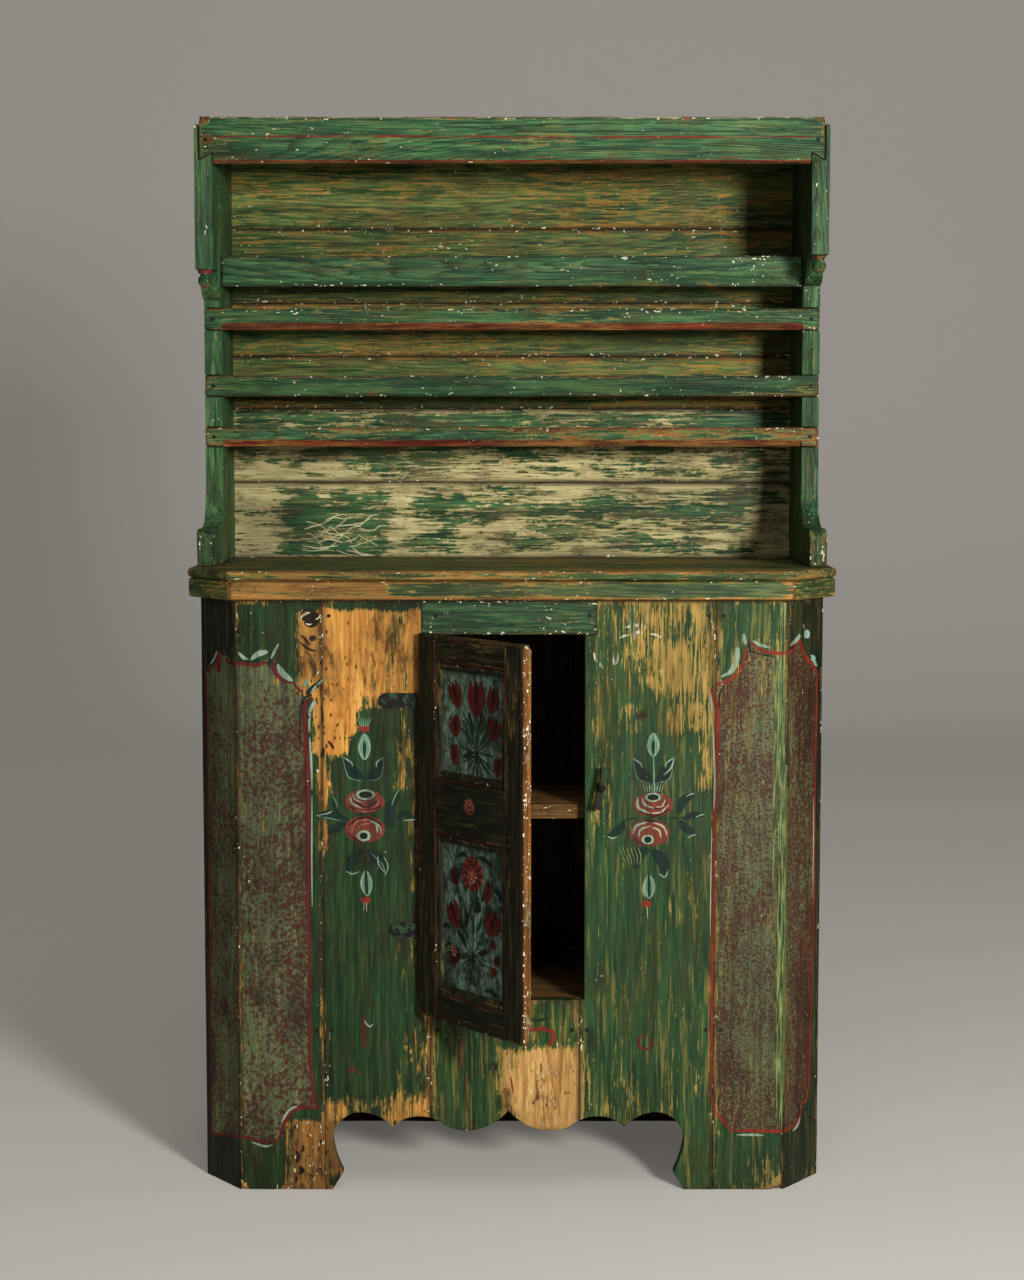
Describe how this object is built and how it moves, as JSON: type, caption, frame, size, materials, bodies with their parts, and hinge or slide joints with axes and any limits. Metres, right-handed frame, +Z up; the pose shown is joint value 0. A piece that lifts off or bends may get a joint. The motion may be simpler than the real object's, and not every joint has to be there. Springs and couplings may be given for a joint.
{
  "type": "painted plate-rack cupboard",
  "caption": "Painted wooden kitchen cupboard with canted corners, one framed door on strap hinges, a moulded counter and an open plate rack with rails above.",
  "frame": {"origin": "bottom centre of the back, where the floor meets the wall", "axes": "+Z up, +Y back into the wall, +X to the right seen from the front; the front faces -Y"},
  "size_m": [1.058, 0.6255, 1.742],
  "materials": {
    "green_paint": "old green oil paint over pine, worn along edges and grain",
    "marbled_paint": "grey-green paint stippled dark red, with red and pale blue borders",
    "worn_back_paint": "thin green paint worn to ochre pine and cream undercoat",
    "door_frame_paint": "dark olive brown paint, rubbed through along the edges",
    "panel_paint": "pale blue-grey paint with red tulips and dark leaves",
    "bare_pine": "unpainted aged pine",
    "black_iron": "hand-forged iron, blackened, with traces of green paint"
  },
  "bodies": {
    "cupboard": {"apron_plank": "green_paint", "base_back_board_1": "bare_pine", "base_back_board_2": "bare_pine", "base_back_board_3": "bare_pine", "base_back_board_4": "bare_pine", "base_back_board_5": "bare_pine", "base_floor": "bare_pine", "base_side_left": "green_paint", "base_side_right": "green_paint", "button_nail": "black_iron", "button_spacer": "green_paint", "cant_board_left": "marbled_paint", "cant_board_right": "marbled_paint", "counter_rail_cant_left": "green_paint", "counter_rail_cant_right": "green_paint", "counter_rail_front": "green_paint", "counter_rail_side_left": "green_paint", "counter_rail_side_right": "green_paint", "counter_top": "green_paint", "floor_cleats": "bare_pine", "front_battens": "bare_pine", "front_corner_plank_left": "marbled_paint", "front_corner_plank_right": "marbled_paint", "front_plank_left": "green_paint", "front_plank_right": "green_paint", "head_rail": "green_paint", "hinge_pins": "black_iron", "hinge_strap_lower": "black_iron", "hinge_strap_upper": "black_iron", "hood_drops": "green_paint", "inner_shelf": "bare_pine", "lower_plate_bar": "green_paint", "lower_shelf": "green_paint", "lower_shelf_rail": "green_paint", "nail_heads": "black_iron", "rack_back_board_1": "worn_back_paint", "rack_back_board_2": "worn_back_paint", "rack_back_board_3": "worn_back_paint", "rack_back_board_4": "worn_back_paint", "rack_back_board_5": "worn_back_paint", "rack_back_board_6": "worn_back_paint", "rack_side_left": "green_paint", "rack_side_right": "green_paint", "roof_board": "bare_pine", "shelf_cleats": "bare_pine", "top_rail": "green_paint", "upper_plate_bar": "green_paint", "upper_shelf": "green_paint", "upper_shelf_rail": "green_paint"},
    "door": {"door_moulding_lower": "door_frame_paint", "door_moulding_upper": "door_frame_paint", "door_panel_lower": "panel_paint", "door_panel_upper": "panel_paint", "door_rail_bottom": "door_frame_paint", "door_rail_lock": "door_frame_paint", "door_rail_top": "door_frame_paint", "door_stile_free": "door_frame_paint", "door_stile_hinge": "door_frame_paint", "hinge_leaves": "black_iron"},
    "turn_button": {"turn_button": "green_paint"}
  },
  "joints": [
    {"name": "door_swing", "type": "hinge", "parent": "cupboard", "child": "door", "pos_m": [-0.1483, -0.408, 0.606], "axis": [0, 0, -1], "range_deg": [-51.5, 88.5]},
    {"name": "button_turn", "type": "hinge", "parent": "cupboard", "child": "turn_button", "pos_m": [0.143, -0.4155, 0.665], "axis": [0, -1, 0], "continuous": true}
  ]
}
